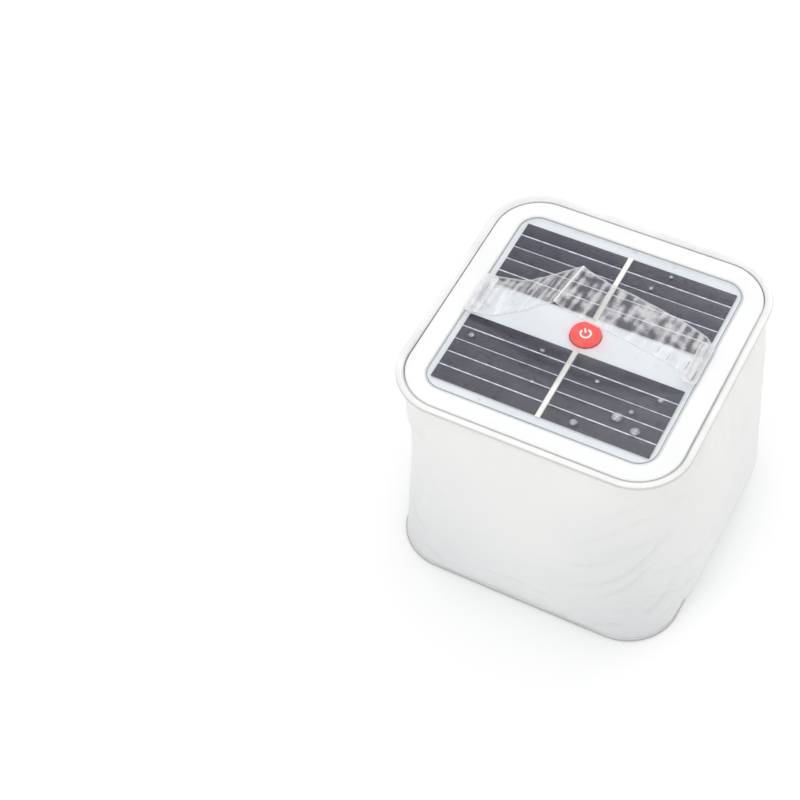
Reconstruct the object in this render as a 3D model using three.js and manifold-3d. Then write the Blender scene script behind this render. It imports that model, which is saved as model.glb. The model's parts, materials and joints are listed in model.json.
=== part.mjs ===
// Inflatable cube solar lantern, panel side up. Millimetres, +Z up.
// The origin is the centre of the welded rim that the lantern stands on.
import * as THREE from 'three';
import { mergeVertices } from 'three/addons/utils/BufferGeometryUtils.js';
import Module from 'manifold-3d';

const wasm = await Module();
wasm.setup();

// ---- driving dimensions ---------------------------------------------------------------
const GAP = 0.3;                    // clearance between pieces that touch
const PANEL_Z = 112;                // top of the clear window film, above the table
const RIM_WIDTH = 125;              // across the welded rim around the panel
const BASE_RIM_WIDTH = 127.5;       // across the welded rim that the lantern stands on
const RIM_RADIUS = 23.5;            // outer corner radius of both rims
const RIM_LIP = 3.2;                // width and height of each welded rim
const FILM = 0.6;                   // window film and valve-side sheet
const SLEEVE_WIDTH = 121;           // across the frosted side walls
const SLEEVE_WALL = 0.8;

const BEZEL_WIDTH = 118;            // across the white frame around the solar panel
const BEZEL_RADIUS = 20;
const WINDOW = { x: 99.6, y: 100.6, radius: 9 };
const CELL_AREA = { x: 93.4, y: 89.4 };
const CENTRE_STRIP = 19;            // white strip between the two rows of cells
const RIBBON_WIDTH = 2.6;           // collector ribbon between the two columns of cells
const BUTTON_DIAMETER = 12.9;
const BUTTON_TRAVEL = 0.8;

const STRAP_WIDTH = 21;
const STRAP_THICKNESS = 0.8;
const STRAP_Y = 2;                  // centre line of the strap over the panel
const BASE_STRAP_Y = 4;             // centre line of the strap under the base
const VALVE_Y = -26;                // centre of the valve, beside the base strap

// ---- materials ------------------------------------------------------------------------
const FINISHES = {
  clearFilm: { color: 0xeef3f7, roughness: 0.12, metalness: 0, opacity: 0.3 },
  frostedFilm: { color: 0xe8e8e4, roughness: 0.55, metalness: 0 },
  clearWeld: { color: 0xdfe4e8, roughness: 0.15, metalness: 0, opacity: 0.6 },
  bezel: { color: 0xf4f5f6, roughness: 0.22, metalness: 0 },
  whiteCase: { color: 0xe9eaeb, roughness: 0.5, metalness: 0 },
  backsheet: { color: 0xe4eaf4, roughness: 0.35, metalness: 0 },
  solarCell: { color: 0x262633, roughness: 0.25, metalness: 0.1 },
  ribbon: { color: 0xe9e7de, roughness: 0.3, metalness: 0.6 },
  laminate: { color: 0xf2f5f9, roughness: 0.08, metalness: 0, opacity: 0.2 },
  redButton: { color: 0xe5322d, roughness: 0.4, metalness: 0 },
  circuitBoard: { color: 0x1f5a3a, roughness: 0.45, metalness: 0 },
  blackPlastic: { color: 0x1b1b1d, roughness: 0.5, metalness: 0 },
  steel: { color: 0xa9abad, roughness: 0.3, metalness: 0.9 },
  ledLens: { color: 0xf3efd8, roughness: 0.2, metalness: 0, opacity: 0.6 },
  led: { color: 0xf0dc7a, roughness: 0.35, metalness: 0 },
  battery: { color: 0x9fa6ad, roughness: 0.4, metalness: 0.4 },
  foam: { color: 0x2c2c2e, roughness: 0.9, metalness: 0 },
  redWire: { color: 0xb3231f, roughness: 0.5, metalness: 0 },
  blackWire: { color: 0x18181a, roughness: 0.5, metalness: 0 },
};

function finish(name) {
  const { color, roughness, metalness, opacity = 1 } = FINISHES[name];
  return new THREE.MeshStandardMaterial({
    color, roughness, metalness, opacity, transparent: opacity < 1,
  });
}

// ---- shape helpers --------------------------------------------------------------------
// Traces a rectangle with rounded corners, centred on (cx, cy), on a Shape or a Path.
function traceRoundedRect(path, width, height, radius, cx = 0, cy = 0) {
  const x = width / 2 - radius;
  const y = height / 2 - radius;
  const corners = [[x, -y, -0.5], [x, y, 0], [-x, y, 0.5], [-x, -y, 1]];
  path.moveTo(cx - x, cy - height / 2);
  for (const [px, py, quarter] of corners) {
    const start = quarter * Math.PI;
    path.absarc(cx + px, cy + py, radius, start, start + Math.PI / 2, false);
  }
  path.closePath();
  return path;
}

function roundedRect(width, height, radius, cx = 0, cy = 0) {
  return traceRoundedRect(new THREE.Shape(), width, height, radius, cx, cy);
}

function withHole(shape, width, height, radius, cx = 0, cy = 0) {
  shape.holes.push(traceRoundedRect(new THREE.Path(), width, height, radius, cx, cy));
  return shape;
}

function withRoundHole(shape, radius, cx = 0, cy = 0) {
  shape.holes.push(new THREE.Path().absarc(cx, cy, radius, 0, Math.PI * 2, true));
  return shape;
}

// Extrudes a shape drawn in plan from z0 up to z1.
function slab(shape, z0, z1, curveSegments = 8) {
  const geometry = new THREE.ExtrudeGeometry(shape, {
    depth: z1 - z0, bevelEnabled: false, curveSegments,
  });
  return geometry.translate(0, 0, z0);
}

function block(x, y, z0, z1, cx = 0, cy = 0) {
  return new THREE.BoxGeometry(x, y, z1 - z0).translate(cx, cy, (z0 + z1) / 2);
}

function disc(radius, z0, z1, cx = 0, cy = 0, segments = 24) {
  const geometry = new THREE.CylinderGeometry(radius, radius, z1 - z0, segments);
  return geometry.rotateX(Math.PI / 2).translate(cx, cy, (z0 + z1) / 2);
}

// Turns a closed profile of [radius, z] points about a vertical axis.
function turned(profile, cx, cy, segments = 32) {
  const points = profile.map(([radius, z]) => new THREE.Vector2(radius, z));
  return new THREE.LatheGeometry(points, segments).rotateX(Math.PI / 2).translate(cx, cy, 0);
}

function tubeAlong(points, radius, steps = 16) {
  const curve = new THREE.CatmullRomCurve3(points.map((p) => new THREE.Vector3(...p)));
  const section = new THREE.Shape().absarc(0, 0, radius, 0, Math.PI * 2, false);
  return new THREE.ExtrudeGeometry(section, {
    steps, bevelEnabled: false, extrudePath: curve, curveSegments: 4,
  });
}

// ---- joining and cutting --------------------------------------------------------------
function toSolid(geometry) {
  const bare = geometry.clone();
  bare.deleteAttribute('normal');
  bare.deleteAttribute('uv');
  const welded = mergeVertices(bare, 1e-4);
  return new wasm.Manifold(new wasm.Mesh({
    numProp: 3,
    vertProperties: new Float32Array(welded.attributes.position.array),
    triVerts: new Uint32Array(welded.index.array),
  }));
}

function toGeometry(solid) {
  const mesh = solid.getMesh();
  const geometry = new THREE.BufferGeometry();
  geometry.setAttribute('position', new THREE.BufferAttribute(mesh.vertProperties, 3));
  geometry.setIndex(new THREE.BufferAttribute(mesh.triVerts, 1));
  geometry.computeVertexNormals();
  return geometry;
}

function joined(base, ...others) {
  return toGeometry(others.reduce((solid, g) => solid.add(toSolid(g)), toSolid(base)));
}

function cut(base, ...others) {
  return toGeometry(others.reduce((solid, g) => solid.subtract(toSolid(g)), toSolid(base)));
}

// ---- assembly -------------------------------------------------------------------------
const lantern = new THREE.Group();

function place(name, geometry, finishName, parent = lantern) {
  const mesh = new THREE.Mesh(geometry, finish(finishName));
  mesh.name = name;
  parent.add(mesh);
  return mesh;
}

// Base: the rim it stands on, the frosted valve-side sheet and the frosted side walls.
const SHEET_BOTTOM = RIM_LIP + GAP;
const SHEET_TOP = SHEET_BOTTOM + FILM;
const PANEL_RIM_BOTTOM = PANEL_Z + GAP - RIM_LIP;

function weldedRim(width, z0) {
  const inner = width - 2 * RIM_LIP;
  const outline = roundedRect(width, width, RIM_RADIUS);
  return slab(withHole(outline, inner, inner, RIM_RADIUS - RIM_LIP), z0, z0 + RIM_LIP);
}

function buildEnvelope() {
  const sheetWidth = BASE_RIM_WIDTH - 1.5;
  const valveHole = 18;
  const sheet = withRoundHole(roundedRect(sheetWidth, sheetWidth, RIM_RADIUS), valveHole, 0, VALVE_Y);
  const inside = SLEEVE_WIDTH - 2 * SLEEVE_WALL;
  const walls = roundedRect(SLEEVE_WIDTH, SLEEVE_WIDTH, RIM_RADIUS - 1);
  withHole(walls, inside, inside, RIM_RADIUS - 1 - SLEEVE_WALL);
  const filmWidth = RIM_WIDTH - 2 * RIM_LIP - 2 * GAP;

  place('base_rim_weld', weldedRim(BASE_RIM_WIDTH, 0), 'clearWeld');
  place('valve_side_sheet', slab(sheet, SHEET_BOTTOM, SHEET_TOP, 12), 'frostedFilm');
  place('side_sleeve', slab(walls, SHEET_TOP + GAP, PANEL_RIM_BOTTOM - GAP), 'frostedFilm');
  place('panel_rim_weld', weldedRim(RIM_WIDTH, PANEL_RIM_BOTTOM), 'clearWeld');
  const film = roundedRect(filmWidth, filmWidth, RIM_RADIUS - RIM_LIP);
  place('panel_window_film', slab(film, PANEL_Z - FILM, PANEL_Z), 'clearFilm');
}

// Inflation valve: a recessed body, a stem that pulls out of it, and a cap on a living hinge.
const VALVE = {
  flangeRadius: 20.5, cupRadius: 15, wall: 1.2, cupTop: 12,
  stemRadius: 6.4, boreRadius: 4.75, stemBottom: 4.8, stemTop: 21, collarRadius: 8.2,
};

function buildValve() {
  const v = VALVE;
  const floor = SHEET_TOP + GAP;
  const cupOuter = v.cupRadius + v.wall;
  const neck = v.stemRadius + GAP;
  place('valve_body', turned([
    [v.cupRadius, floor], [v.flangeRadius, floor], [v.flangeRadius, floor + 1],
    [cupOuter, floor + 1], [cupOuter, v.cupTop], [neck, v.cupTop],
    [neck, v.cupTop - v.wall], [v.cupRadius, v.cupTop - v.wall], [v.cupRadius, floor],
  ], 0, VALVE_Y, 40), 'clearFilm');

  place('valve_stem', turned([
    [v.boreRadius, v.stemBottom], [v.stemRadius, v.stemBottom],
    [v.stemRadius, v.stemTop - 1], [v.collarRadius, v.stemTop - 1],
    [v.collarRadius, v.stemTop], [v.boreRadius, v.stemTop], [v.boreRadius, v.stemBottom],
  ], 0, VALVE_Y), 'clearFilm');

  const flapTop = v.stemTop - 2;
  place('valve_flap', disc(v.boreRadius - GAP, flapTop - 0.6, flapTop, 0, VALVE_Y), 'clearFilm');

  const bandBottom = v.stemBottom + 1.8;
  const band = turned([
    [v.stemRadius + GAP, bandBottom], [v.stemRadius + 1.4, bandBottom],
    [v.stemRadius + 1.4, bandBottom + 1.6], [v.stemRadius + GAP, bandBottom + 1.6],
    [v.stemRadius + GAP, bandBottom],
  ], 0, VALVE_Y);
  const hingeTab = block(3.2, 4, bandBottom, bandBottom + 1.2, v.stemRadius + 2.4, VALVE_Y);
  place('valve_tether', joined(band, hingeTab), 'clearFilm');

  const capTop = v.stemBottom - GAP;
  const capFlange = disc(7, capTop - 1.5, capTop, 0, VALVE_Y);
  const spigot = disc(4.3, capTop - 0.5, capTop + 3, 0, VALVE_Y);
  const lug = block(4.5, 4, capTop - 1.5, capTop, 8.2, VALVE_Y);
  place('valve_cap', joined(capFlange, spigot, lug), 'clearFilm');
}

// White frame, rear case and everything sealed between them.
const BEZEL_TOP = PANEL_Z - FILM - GAP;
const BEZEL_FLANGE_BOTTOM = BEZEL_TOP - 1.3;
const CELL_BOTTOM = BEZEL_FLANGE_BOTTOM;
const PANEL_BOARD_TOP = CELL_BOTTOM - GAP;
const PANEL_BOARD_BOTTOM = PANEL_BOARD_TOP - 1.3;
const CASE_TOP = PANEL_BOARD_BOTTOM - 1.2;
const CASE_BOTTOM = CASE_TOP - 7.1;
const CASE_FLOOR = CASE_BOTTOM + 1.6;
const CASE_WIDTH = 101.6;
const CASE_WALL = 1.5;
const CASE_FLANGE_WIDTH = 111;
const SKIRT_INSIDE = 113;
const LENS = { x: 66, y: 32, cy: 12 };
const SCREW_X = 53.5;
const SCREW_Y = 36;
const CIRCUIT_BOARD = { x: 84, y: 46, cy: 12, bottom: CASE_FLOOR + 2.4, top: CASE_FLOOR + 3.6 };

function eachCorner(x, y, visit) {
  for (const [sx, sy] of [[-1, -1], [1, -1], [1, 1], [-1, 1]]) visit(sx * x, sy * y);
}

function buildHousing() {
  const flange = withHole(
    roundedRect(BEZEL_WIDTH, BEZEL_WIDTH, BEZEL_RADIUS), WINDOW.x, WINDOW.y, WINDOW.radius);
  const skirt = withHole(
    roundedRect(BEZEL_WIDTH, BEZEL_WIDTH, BEZEL_RADIUS), SKIRT_INSIDE, SKIRT_INSIDE, BEZEL_RADIUS - 2);
  const bezelParts = [slab(skirt, BEZEL_FLANGE_BOTTOM - 4.9, BEZEL_TOP - 0.5)];
  const pilotHoles = [];
  eachCorner(SCREW_X, SCREW_Y, (x, y) => {
    bezelParts.push(disc(2.3, CASE_TOP + GAP, BEZEL_TOP - 0.5, x, y, 16));
    pilotHoles.push(disc(1.2, CASE_TOP, BEZEL_TOP - 1, x, y, 12));
  });
  const bezel = joined(slab(flange, BEZEL_FLANGE_BOTTOM, BEZEL_TOP), ...bezelParts);
  place('bezel_frame', cut(bezel, ...pilotHoles), 'bezel');

  const tub = slab(roundedRect(CASE_WIDTH, CASE_WIDTH, 12), CASE_BOTTOM, CASE_TOP);
  const inside = CASE_WIDTH - 2 * CASE_WALL;
  const cavity = slab(roundedRect(inside, inside, 12 - CASE_WALL), CASE_FLOOR, CASE_TOP + 1);
  const caseFlange = slab(
    roundedRect(CASE_FLANGE_WIDTH, CASE_FLANGE_WIDTH, BEZEL_RADIUS - 2.5), CASE_TOP - 1.5, CASE_TOP);
  const lensHole = slab(roundedRect(LENS.x, LENS.y, 5, 0, LENS.cy), CASE_BOTTOM - 1, CASE_FLOOR + 1);
  const posts = [];
  const screwHoles = [];
  eachCorner(CIRCUIT_BOARD.x / 2 - 3, CIRCUIT_BOARD.y / 2 - 3, (x, y) => {
    posts.push(disc(2, CASE_FLOOR - 0.5, CIRCUIT_BOARD.bottom - GAP, x, y + CIRCUIT_BOARD.cy, 12));
  });
  eachCorner(SCREW_X, SCREW_Y, (x, y) => {
    screwHoles.push(disc(1.3, CASE_TOP - 3, CASE_TOP + 1, x, y, 12));
  });
  const shell = cut(joined(tub, caseFlange), cavity, lensHole, ...screwHoles);
  place('rear_case', joined(shell, ...posts), 'whiteCase');

  const gasket = withHole(roundedRect(101, 101, 11.8), 98.8, 98.8, 10.7);
  place('case_gasket', slab(gasket, CASE_TOP + GAP, CASE_TOP + 0.9), 'foam');

  let screwNumber = 1;
  eachCorner(SCREW_X, SCREW_Y, (x, y) => {
    const headTop = CASE_TOP - 1.5 - GAP;
    const head = disc(1.8, headTop - 1.3, headTop, x, y, 12);
    const shank = disc(0.9, headTop - 0.5, BEZEL_TOP - 1.6, x, y, 10);
    place(`case_screw_${screwNumber}`, joined(head, shank), 'steel');
    screwNumber += 1;
  });
}

function buildSolarPanel() {
  const board = withRoundHole(roundedRect(101.8, 103.2, 10), BUTTON_DIAMETER / 2 + GAP);
  place('solar_backsheet', slab(board, PANEL_BOARD_BOTTOM, PANEL_BOARD_TOP), 'backsheet');

  const ribbonGap = RIBBON_WIDTH + 2 * GAP;
  const cellX = (CELL_AREA.x - ribbonGap) / 2;
  const cellY = (CELL_AREA.y - CENTRE_STRIP) / 2;
  const centreX = ribbonGap / 2 + cellX / 2;
  const centreY = CENTRE_STRIP / 2 + cellY / 2;
  for (const [row, sy] of [['rear', 1], ['front', -1]]) {
    for (const [side, sx] of [['left', -1], ['right', 1]]) {
      const cell = block(cellX, cellY, CELL_BOTTOM, CELL_BOTTOM + 0.4, sx * centreX, sy * centreY);
      place(`solar_cell_${row}_${side}`, cell, 'solarCell');
    }
    const ribbon = block(RIBBON_WIDTH, cellY + 1, CELL_BOTTOM, CELL_BOTTOM + 0.4, 0, sy * centreY);
    place(`cell_ribbon_${row}`, ribbon, 'ribbon');
  }

  const laminateBottom = CELL_BOTTOM + 0.4 + GAP;
  const cover = roundedRect(WINDOW.x - 1, WINDOW.y - 1, WINDOW.radius - 0.5);
  withRoundHole(cover, BUTTON_DIAMETER / 2 + GAP);
  place('panel_laminate', slab(cover, laminateBottom, laminateBottom + 0.4, 12), 'laminate');
}

function buildSwitch() {
  const capTop = BEZEL_TOP - 0.1;
  const capBottom = capTop - 1.4;
  const plungerTop = CIRCUIT_BOARD.top + GAP + BUTTON_TRAVEL + 1.4;
  const cap = disc(BUTTON_DIAMETER / 2, capBottom, capTop, 0, 0, 40);
  const stem = disc(2.5, plungerTop + GAP, capBottom + 0.5, 0, 0, 16);
  place('button_cap', joined(cap, stem), 'redButton');
  place('switch_plunger', disc(1.5, plungerTop - 1.3, plungerTop, 0, 0, 16), 'blackPlastic');
  const body = withRoundHole(roundedRect(6, 6, 0.6), 1.5 + GAP);
  place('switch_body', slab(body, CIRCUIT_BOARD.top + GAP, CIRCUIT_BOARD.top + GAP + 1.3), 'steel');
}

function buildElectronics() {
  const { x, y, cy, bottom, top } = CIRCUIT_BOARD;
  place('circuit_board', slab(roundedRect(x, y, 2, 0, cy), bottom, top), 'circuitBoard');

  let ledNumber = 1;
  for (const ledY of [2, 22]) {
    for (const ledX of [-24, 0, 24]) {
      const led = block(3.5, 2.8, bottom - GAP - 1, bottom - GAP, ledX, ledY);
      place(`led_${ledNumber}`, led, 'led');
      ledNumber += 1;
    }
  }

  const pane = slab(roundedRect(LENS.x - 0.6, LENS.y - 0.6, 4.7, 0, LENS.cy), CASE_BOTTOM - 0.8, CASE_FLOOR + 0.5);
  const lip = slab(roundedRect(LENS.x + 3, LENS.y + 3, 6, 0, LENS.cy), CASE_FLOOR + GAP, CASE_FLOOR + 0.8);
  place('led_lens', joined(pane, lip), 'ledLens');

  const batteryY = -32;
  place('battery_pad', block(56, 26, CASE_FLOOR + GAP, CASE_FLOOR + 1.1, 0, batteryY), 'foam');
  const cell = slab(roundedRect(60, 30, 1.5, 0, batteryY), CASE_FLOOR + 1.4, CASE_FLOOR + 6);
  place('battery_pack', cell, 'battery');

  // Two leads cross from the battery to the circuit board, and two drop from the solar panel.
  const leadRadius = 0.6;
  const landing = top + GAP + leadRadius;
  for (const [colour, sx] of [['red', 1], ['black', -1]]) {
    const finishName = `${colour}Wire`;
    const fromBattery = [
      [sx * 14, -16.5, landing - 0.3], [sx * 14, -14.5, landing + 0.4],
      [sx * 13, -11, landing + 0.6], [sx * 12, -7, landing + 0.2], [sx * 12, -4, landing],
    ];
    place(`battery_lead_${colour}`, tubeAlong(fromBattery, leadRadius, 12), finishName);
    const fromPanel = [
      [sx * 34, 24, PANEL_BOARD_BOTTOM - GAP - 0.1], [sx * 34, 23.6, PANEL_BOARD_BOTTOM - 1.2],
      [sx * 34, 21, landing + 0.5], [sx * 33, 17, landing + 0.1], [sx * 32, 13, landing],
    ];
    place(`panel_lead_${colour}`, tubeAlong(fromPanel, leadRadius, 12), finishName);
  }
}

// Straps: a slack clear one over the panel and a frosted one folded flat under the base.
// Each is a pair of weld pads, two spans and the middle that a hand lifts or presses.
const STRAP_RISE_LEFT = [[-47, 1.8], [-37, 3], [-27, 8.6], [-17.8, 16.4], [-8.5, 25]];
const STRAP_FALL_RIGHT = [
  [-8.5, 25], [-3, 21.2], [5, 18.8], [17, 15.8], [30, 12], [40, 8.2], [45.2, 5], [47.5, 1.8],
];

function strapLine() {
  const line = [];
  for (const points of [STRAP_RISE_LEFT, STRAP_FALL_RIGHT]) {
    const curve = new THREE.SplineCurve(points.map(([x, z]) => new THREE.Vector2(x, z)));
    line.push(...curve.getPoints(24).slice(line.length ? 1 : 0));
  }
  return line;
}

// A strip of the strap between two x positions: its side view drawn, then extruded across.
function strapStrip(line, x0, x1, centreY, baseZ) {
  const inside = line.filter((p) => p.x > x0 + 0.05 && p.x < x1 - 0.05);
  const ends = [x0, x1].map((x) => {
    const i = Math.max(1, line.findIndex((p) => p.x >= x));
    const [a, b] = [line[i - 1], line[i]];
    return new THREE.Vector2(x, a.y + ((x - a.x) / (b.x - a.x)) * (b.y - a.y));
  });
  const top = [ends[0], ...inside, ends[1]];
  const low = top.map((p) => new THREE.Vector2(p.x, p.y - STRAP_THICKNESS)).reverse();
  const section = new THREE.Shape([...low, ...top]);
  const strip = new THREE.ExtrudeGeometry(section, { depth: STRAP_WIDTH, bevelEnabled: false });
  return strip.rotateX(Math.PI / 2).translate(0, centreY + STRAP_WIDTH / 2, baseZ);
}

function buildStraps() {
  const over = strapLine();
  const crest = { from: -16, to: 10 };
  place('strap_span_left', strapStrip(over, -46.5, crest.from - GAP, STRAP_Y, PANEL_Z), 'clearFilm');
  place('strap_crest', strapStrip(over, crest.from, crest.to, STRAP_Y, PANEL_Z), 'clearFilm');
  place('strap_span_right', strapStrip(over, crest.to + GAP, 47.2, STRAP_Y, PANEL_Z), 'clearFilm');

  const underTop = SHEET_BOTTOM - 2 * GAP - FILM;
  const flat = [new THREE.Vector2(-60, 0), new THREE.Vector2(60, 0)];
  const middle = 16;
  const reach = 56;
  place('base_strap_span_left', strapStrip(flat, -reach, -middle - GAP, BASE_STRAP_Y, underTop), 'frostedFilm');
  place('base_strap_middle', strapStrip(flat, -middle, middle, BASE_STRAP_Y, underTop), 'frostedFilm');
  place('base_strap_span_right', strapStrip(flat, middle + GAP, reach, BASE_STRAP_Y, underTop), 'frostedFilm');

  for (const [side, sx] of [['left', -1], ['right', 1]]) {
    const overPad = block(6, STRAP_WIDTH, PANEL_Z + GAP, PANEL_Z + 0.8, sx * 46.5, STRAP_Y);
    place(`strap_pad_${side}`, overPad, 'clearWeld');
    const underPad = block(6.5, STRAP_WIDTH, underTop + GAP, SHEET_BOTTOM - GAP, sx * 53, BASE_STRAP_Y);
    place(`base_strap_pad_${side}`, underPad, 'clearWeld');
  }
}

buildEnvelope();
buildValve();
buildHousing();
buildSolarPanel();
buildSwitch();
buildElectronics();
buildStraps();

export default lantern;
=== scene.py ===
"""Inflatable cube solar lantern, panel side up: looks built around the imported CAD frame. Metres, +Z up."""

import json
import math

import bmesh
import bpy
import numpy as np
from mathutils import Matrix, Vector, noise


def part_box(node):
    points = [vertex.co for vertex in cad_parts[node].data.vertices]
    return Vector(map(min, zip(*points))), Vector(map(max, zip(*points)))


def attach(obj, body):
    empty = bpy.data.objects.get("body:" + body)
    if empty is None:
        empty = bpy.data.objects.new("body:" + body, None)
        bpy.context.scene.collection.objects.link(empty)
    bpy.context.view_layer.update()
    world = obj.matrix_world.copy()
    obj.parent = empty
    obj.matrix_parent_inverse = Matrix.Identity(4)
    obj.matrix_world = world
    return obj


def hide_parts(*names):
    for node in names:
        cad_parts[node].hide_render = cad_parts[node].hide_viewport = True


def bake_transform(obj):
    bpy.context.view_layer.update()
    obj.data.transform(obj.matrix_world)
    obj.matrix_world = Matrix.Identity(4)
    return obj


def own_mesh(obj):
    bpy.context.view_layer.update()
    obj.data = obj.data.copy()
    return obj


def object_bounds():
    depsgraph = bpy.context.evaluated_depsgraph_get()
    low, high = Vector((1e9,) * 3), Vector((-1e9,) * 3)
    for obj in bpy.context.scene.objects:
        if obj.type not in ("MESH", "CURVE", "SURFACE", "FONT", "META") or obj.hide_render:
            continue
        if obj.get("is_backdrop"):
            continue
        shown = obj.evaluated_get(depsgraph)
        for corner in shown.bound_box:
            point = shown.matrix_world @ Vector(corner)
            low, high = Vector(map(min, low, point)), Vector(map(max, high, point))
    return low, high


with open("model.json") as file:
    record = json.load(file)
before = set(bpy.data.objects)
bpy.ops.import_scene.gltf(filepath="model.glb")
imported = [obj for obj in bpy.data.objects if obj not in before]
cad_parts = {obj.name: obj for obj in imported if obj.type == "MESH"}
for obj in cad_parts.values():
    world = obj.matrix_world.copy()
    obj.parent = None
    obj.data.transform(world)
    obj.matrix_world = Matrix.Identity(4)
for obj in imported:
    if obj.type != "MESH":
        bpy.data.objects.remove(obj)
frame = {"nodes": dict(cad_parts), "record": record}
CAD_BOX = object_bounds()

MM = 0.001
TAU = 2 * math.pi

# ---- sizes read from the frame --------------------------------------------------------
RIM_LOW, RIM_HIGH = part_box("panel_rim_weld")
BASE_LOW, BASE_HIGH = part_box("base_rim_weld")
FILM_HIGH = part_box("panel_window_film")[1]
SHEET_LOW, SHEET_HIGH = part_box("valve_side_sheet")
BEZEL_LOW, BEZEL_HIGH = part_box("bezel_frame")
LAMINATE_LOW, LAMINATE_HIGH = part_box("panel_laminate")
BUTTON_LOW, BUTTON_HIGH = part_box("button_cap")
CREST_LOW, CREST_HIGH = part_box("strap_crest")
VALVE_LOW, VALVE_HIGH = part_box("valve_body")

RIM_HALF = RIM_HIGH.x
BASE_HALF = BASE_HIGH.x
RIM_RADIUS = 23.5 * MM
SLEEVE_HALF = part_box("side_sleeve")[1].x
RIM_LIP = 3.2 * MM
# The bead round the panel reaches in almost to the frame's side.
RIM_BEAD = RIM_HALF - BEZEL_HIGH.x - 0.06 * MM
# Each collector ribbon shows this much narrower on both sides, and the cells reach in to meet it.
RIBBON_TRIM = 0.28 * MM
BEZEL_RADIUS = 20 * MM
BEZEL_SKIRT = 2.5 * MM
WINDOW_HALF_X = 49.8 * MM
WINDOW_HALF_Y = 50.3 * MM
WINDOW_RADIUS = 9 * MM
VALVE_Y = (VALVE_LOW.y + VALVE_HIGH.y) / 2
VALVE_RADIUS = VALVE_HIGH.x
SMOOTH_ANGLE = math.radians(35)
# The steps of a rounded edge.
QUARTER_TURN = [math.pi / 2 * k / 5 for k in range(6)]


# ---- mesh helpers ---------------------------------------------------------------------
def make_object(name, verts, faces):
    mesh = bpy.data.meshes.new(name)
    mesh.from_pydata([tuple(v) for v in verts], [], faces)
    mesh.validate()
    mesh.update()
    obj = bpy.data.objects.new(name, mesh)
    bpy.context.scene.collection.objects.link(obj)
    mesh.shade_smooth()
    mesh.set_sharp_from_angle(angle=SMOOTH_ANGLE)
    return obj


def face_out(obj):
    """Turns the faces of a closed mesh outwards."""
    shape = bmesh.new()
    shape.from_mesh(obj.data)
    bmesh.ops.recalc_face_normals(shape, faces=shape.faces)
    shape.to_mesh(obj.data)
    shape.free()
    obj.data.shade_smooth()
    obj.data.set_sharp_from_angle(angle=SMOOTH_ANGLE)
    return obj


def apply_modifiers(obj):
    """Replaces the object's mesh with the one its modifiers make."""
    graph = bpy.context.evaluated_depsgraph_get()
    made = bpy.data.meshes.new_from_object(obj.evaluated_get(graph))
    obj.modifiers.clear()
    obj.data = made
    return obj


def add_modifier(obj, kind, **settings):
    modifier = obj.modifiers.new(kind.lower(), kind)
    for key, value in settings.items():
        setattr(modifier, key, value)


def rounded_loop(half_x, half_y, radius, z, corner=10, side=8, cx=0.0, cy=0.0):
    """Points round a rounded rectangle, anticlockwise, the same number for any size."""
    centres = [(1, -1), (1, 1), (-1, 1), (-1, -1)]
    corners = []
    for quarter, (sx, sy) in enumerate(centres):
        start = (quarter - 1) * math.pi / 2
        ax, ay = cx + sx * (half_x - radius), cy + sy * (half_y - radius)
        corners.append([
            (ax + radius * math.cos(start + math.pi / 2 * k / corner),
             ay + radius * math.sin(start + math.pi / 2 * k / corner), z)
            for k in range(corner + 1)
        ])
    points = []
    for quarter, arc in enumerate(corners):
        points += arc
        a, b = arc[-1], corners[(quarter + 1) % 4][0]
        for k in range(1, side):
            t = k / side
            points.append((a[0] + (b[0] - a[0]) * t, a[1] + (b[1] - a[1]) * t, z))
    return points


def loft(name, loops, closed=False, caps=False):
    """Skins a list of loops. closed joins the last loop to the first; caps closes both ends."""
    count = len(loops[0])
    verts = [p for loop in loops for p in loop]
    faces = []
    pairs = len(loops) if closed else len(loops) - 1
    for i in range(pairs):
        a, b = i * count, ((i + 1) % len(loops)) * count
        for k in range(count):
            n = (k + 1) % count
            faces.append((a + k, a + n, b + n, b + k))
    if caps:
        faces.append(tuple(reversed(range(count))))
        faces.append(tuple((len(loops) - 1) * count + k for k in range(count)))
    return make_object(name, verts, faces)


def swept_ring(name, half, radius, profile, corner, side):
    """A closed (offset, z) profile swept round a rounded square. Offset is outwards."""
    loops = [
        rounded_loop(half + o, half + o, max(radius + o, 0.1 * MM), z, corner, side)
        for o, z in profile
    ]
    return face_out(loft(name, loops, closed=True))


def turned(name, profile, cx=0.0, cy=0.0, segments=64):
    """Turns a (radius, z) profile about a vertical axis. Points on the axis close it."""
    on_axis = 1e-7
    verts, rows = [], []
    for r, z in profile:
        if r < on_axis:
            rows.append([len(verts)] * segments)
            verts.append((cx, cy, z))
            continue
        rows.append([len(verts) + k for k in range(segments)])
        verts += [
            (cx + r * math.cos(TAU * k / segments), cy + r * math.sin(TAU * k / segments), z)
            for k in range(segments)
        ]
    faces = []
    for a, b in zip(rows, rows[1:]):
        for k in range(segments):
            n = (k + 1) % segments
            ring = [a[k], a[n], b[n], b[k]]
            face = tuple(dict.fromkeys(ring))
            if len(face) > 2:
                faces.append(face)
    return face_out(make_object(name, verts, faces))


def joined(name, objects):
    """Joins separate meshes into one object."""
    verts, faces = [], []
    for obj in objects:
        base = len(verts)
        verts += [tuple(v.co) for v in obj.data.vertices]
        faces += [tuple(base + i for i in p.vertices) for p in obj.data.polygons]
        bpy.data.objects.remove(obj)
    return make_object(name, verts, faces)


def smooth_step(t):
    t = min(1.0, max(0.0, t))
    return t * t * (3 - 2 * t)


def mark(obj, name, values):
    """Stores one number for each point, for a material to read."""
    layer = obj.data.attributes.new(name, "FLOAT", "POINT")
    layer.data.foreach_set("value", [float(v) for v in values])


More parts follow.
